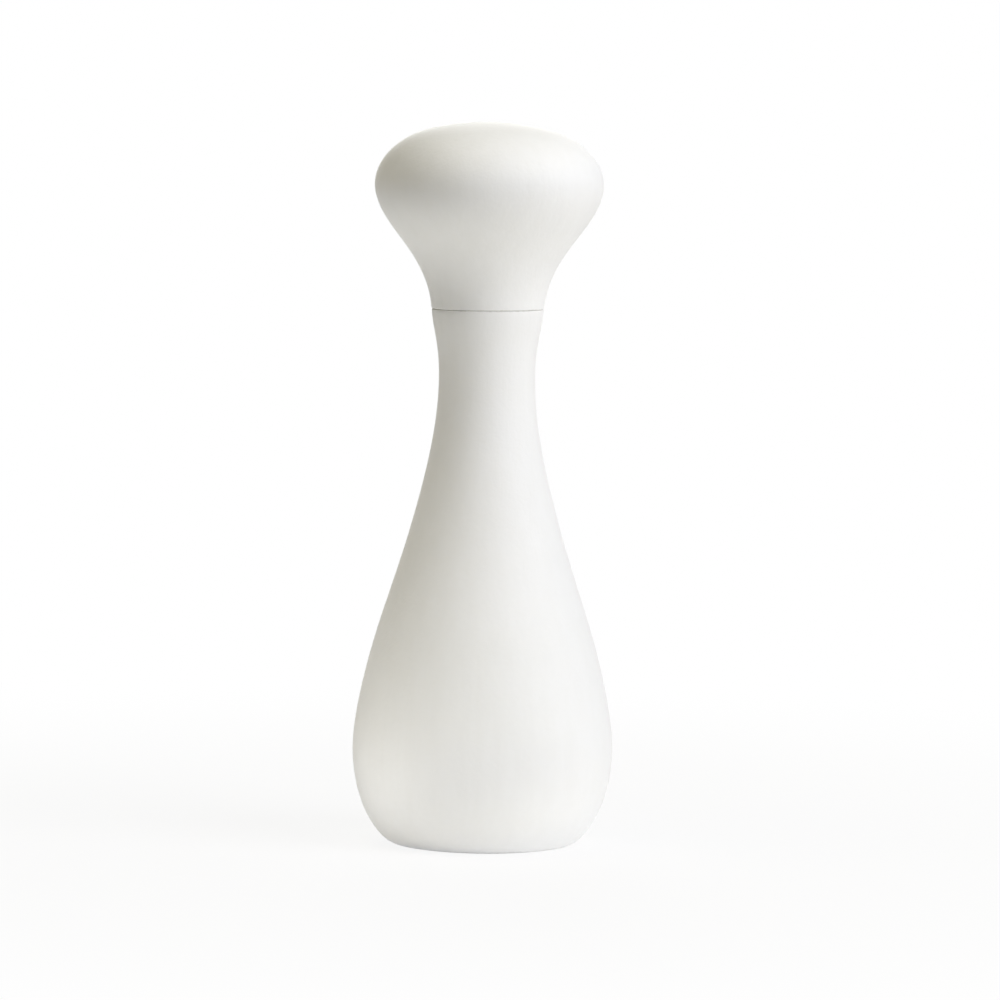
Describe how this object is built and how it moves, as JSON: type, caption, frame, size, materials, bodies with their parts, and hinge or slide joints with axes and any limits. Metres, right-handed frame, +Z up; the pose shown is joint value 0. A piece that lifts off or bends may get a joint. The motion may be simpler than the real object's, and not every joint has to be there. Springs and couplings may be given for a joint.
{
  "type": "pepper mill",
  "caption": "Turned white pepper mill with a full round body, a slim waist and a flared head that turns a shaft and ceramic grinder, and lifts off for filling.",
  "frame": {"origin": "centre of the base rim, on the surface that the mill stands on", "axes": "+Z up along the grinding axis. The outside is round, so +X and +Y only place the screws, the keys and the clip inside. The picture looks along +Y."},
  "size_m": [0.0722, 0.0722, 0.2],
  "materials": {
    "lacquered_wood": "warm white satin lacquer over turned wood",
    "white_acetal": "natural white moulded plastic",
    "grey_nylon": "dark grey moulded plastic",
    "black_nylon": "black moulded plastic",
    "ceramic": "unglazed white technical ceramic",
    "aluminium": "drawn bar, satin",
    "spring_steel": "bright spring wire and strip",
    "zinc_steel": "zinc plated",
    "brass": "machined",
    "rubber": "matt black"
  },
  "bodies": {
    "body": {"body_shell": "lacquered_wood", "neck_shell": "lacquered_wood", "neck_collar": "white_acetal", "mill_housing": "grey_nylon", "stator": "ceramic", "stator_retainer": "grey_nylon", "housing_screws": "zinc_steel", "shaft_bridge": "grey_nylon"},
    "spindle": {"drive_shaft": "aluminium", "bridge_bush": "white_acetal", "thrust_washer": "white_acetal", "spring_washer": "white_acetal", "shaft_clip": "spring_steel", "end_clip": "spring_steel", "rotor_spring": "spring_steel"},
    "rotor": {"rotor": "ceramic", "feed_screw": "grey_nylon"},
    "adjuster": {"adjuster_knob": "black_nylon", "adjuster_nut": "brass", "click_washer": "spring_steel"},
    "head": {"head_shell": "lacquered_wood", "head_insert": "white_acetal", "insert_screws": "zinc_steel", "grip_clip": "spring_steel", "spigot_seal": "rubber"}
  },
  "joints": [
    {"name": "head_turn", "type": "hinge", "parent": "body", "child": "spindle", "pos_m": [0, 0, 0.15], "axis": [0, 0, 1], "continuous": true},
    {"name": "head_lift", "type": "slide", "parent": "spindle", "child": "head", "axis": [0, 0, 1], "range_m": [0, 0.05]},
    {"name": "rotor_lift", "type": "slide", "parent": "spindle", "child": "rotor", "axis": [0, 0, 1], "range_m": [-0.0006, 0.0006], "deforming": ["rotor_spring"]},
    {"name": "adjuster_turn", "type": "hinge", "parent": "rotor", "child": "adjuster", "pos_m": [0, 0, 0.005], "axis": [0, 0, 1], "range_deg": [-270, 270]}
  ],
  "couplings": [
    {"joint": "adjuster_turn", "follows": "rotor_lift", "rad_per_m": 7854}
  ]
}
